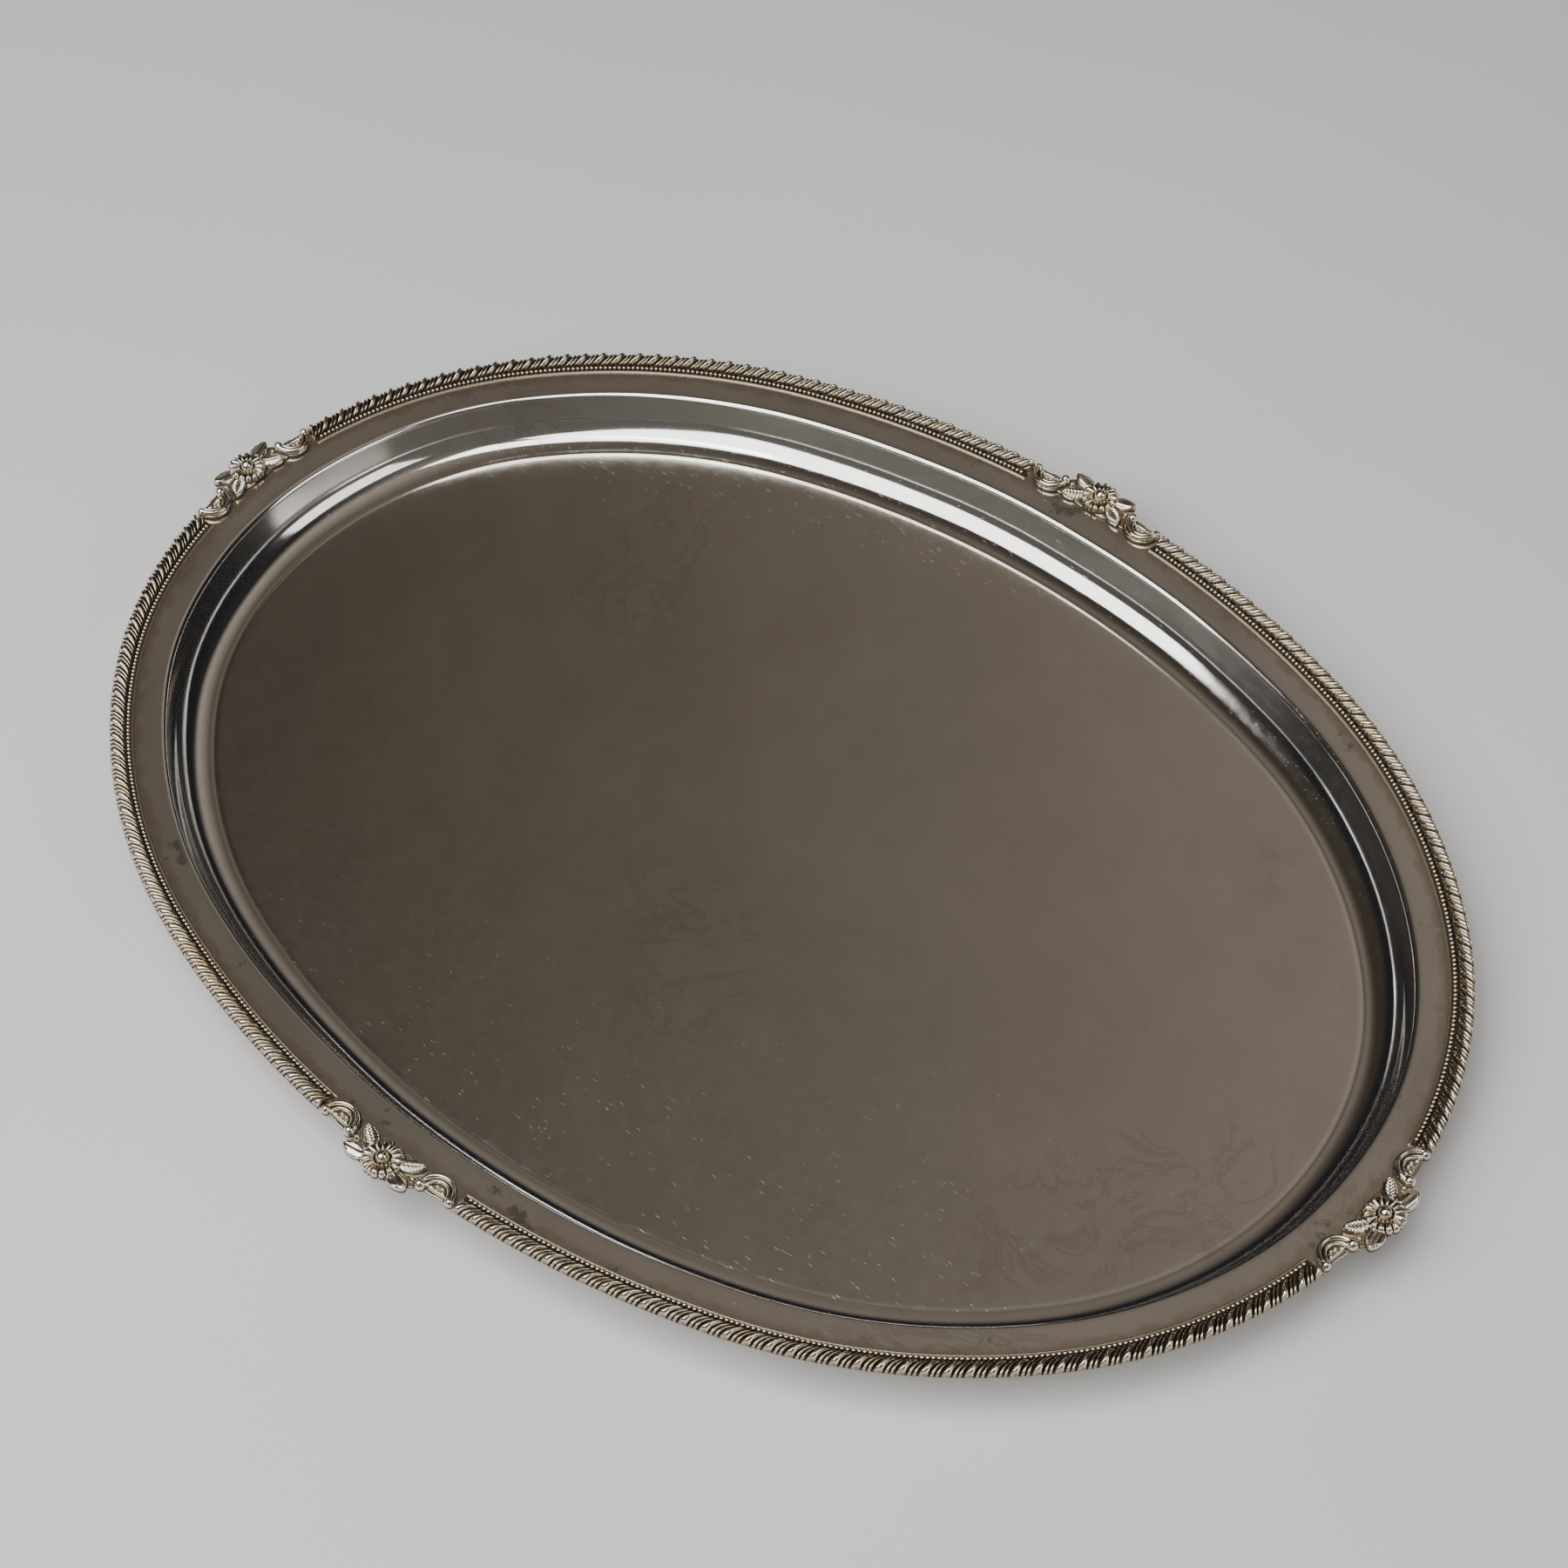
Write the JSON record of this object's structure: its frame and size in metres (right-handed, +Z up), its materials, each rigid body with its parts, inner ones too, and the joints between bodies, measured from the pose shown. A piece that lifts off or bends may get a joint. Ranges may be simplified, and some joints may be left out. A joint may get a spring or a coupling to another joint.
{
  "type": "oval tray",
  "caption": "Shallow oval metal tray with a curved wall, a flat flange, a gadroon and bead border and floral castings at its ends and sides.",
  "frame": {"origin": "centre of the flat underside, on the plane the tray rests on", "axes": "+X along the tray's long axis, +Y across it, +Z up out of the well"},
  "size_m": [0.3582, 0.2703, 0.0174],
  "materials": {
    "pan_plate": "polished silver plate, lightly tarnished and scratched",
    "border_plate": "struck silver plate border with dark tarnish in the recesses",
    "casting_plate": "cast and plated ornament with dark tarnish in the recesses"
  },
  "bodies": {
    "root": {"pan": "pan_plate", "gadroon_back_right": "border_plate", "gadroon_back_left": "border_plate", "gadroon_front_left": "border_plate", "gadroon_front_right": "border_plate", "beading_back_right": "border_plate", "beading_back_left": "border_plate", "beading_front_left": "border_plate", "beading_front_right": "border_plate", "flower_casting_front": "casting_plate", "flower_casting_right": "casting_plate", "flower_casting_back": "casting_plate", "flower_casting_left": "casting_plate"}
  },
  "joints": []
}
